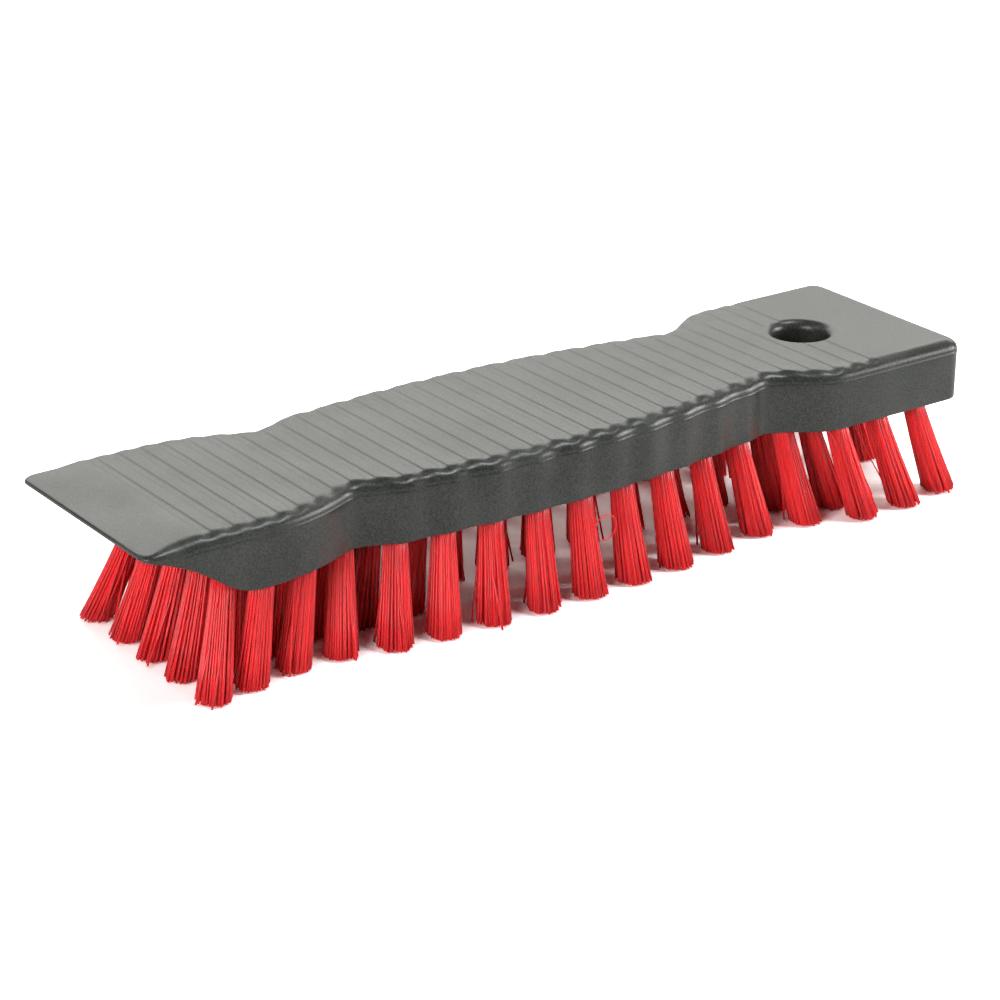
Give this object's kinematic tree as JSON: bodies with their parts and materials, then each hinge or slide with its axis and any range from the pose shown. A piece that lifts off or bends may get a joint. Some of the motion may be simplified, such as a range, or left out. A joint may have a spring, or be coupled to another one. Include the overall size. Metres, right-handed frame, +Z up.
{
  "type": "scrub brush",
  "caption": "Hand scrub brush with a ribbed, waisted grip block, a thin scraper end, a hang hole and flared rows of stiff bristle tufts set with wire anchors.",
  "frame": {"origin": "centre of the overall box, on the plane of the bristle tips", "axes": "+X along the block from the scraper end to the hang-hole end, +Y across the block, +Z up from the bristle tips to the ribbed top"},
  "size_m": [0.262, 0.0762, 0.0446],
  "materials": {
    "block": "dark grey moulded plastic, fine satin grain",
    "bristle": "bright red drawn plastic filament, glossy",
    "anchor": "bare flat steel wire"
  },
  "bodies": {
    "root": {"anchor_left_01": "anchor", "anchor_left_02": "anchor", "anchor_left_03": "anchor", "anchor_left_04": "anchor", "anchor_left_05": "anchor", "anchor_left_06": "anchor", "anchor_left_07": "anchor", "anchor_left_08": "anchor", "anchor_left_09": "anchor", "anchor_left_10": "anchor", "anchor_left_11": "anchor", "anchor_left_12": "anchor", "anchor_left_13": "anchor", "anchor_left_14": "anchor", "anchor_left_15": "anchor", "anchor_left_16": "anchor", "anchor_left_17": "anchor", "anchor_left_18": "anchor", "anchor_middle_01": "anchor", "anchor_middle_02": "anchor", "anchor_middle_03": "anchor", "anchor_middle_04": "anchor", "anchor_middle_05": "anchor", "anchor_middle_06": "anchor", "anchor_middle_07": "anchor", "anchor_middle_08": "anchor", "anchor_middle_09": "anchor", "anchor_middle_10": "anchor", "anchor_middle_11": "anchor", "anchor_middle_12": "anchor", "anchor_middle_13": "anchor", "anchor_middle_14": "anchor", "anchor_middle_15": "anchor", "anchor_right_01": "anchor", "anchor_right_02": "anchor", "anchor_right_03": "anchor", "anchor_right_04": "anchor", "anchor_right_05": "anchor", "anchor_right_06": "anchor", "anchor_right_07": "anchor", "anchor_right_08": "anchor", "anchor_right_09": "anchor", "anchor_right_10": "anchor", "anchor_right_11": "anchor", "anchor_right_12": "anchor", "anchor_right_13": "anchor", "anchor_right_14": "anchor", "anchor_right_15": "anchor", "anchor_right_16": "anchor", "anchor_right_17": "anchor", "anchor_right_18": "anchor", "anchor_tail_01": "anchor", "block": "block", "tufts_left": "bristle", "tufts_middle": "bristle", "tufts_right": "bristle", "tufts_tail": "bristle"}
  },
  "joints": []
}
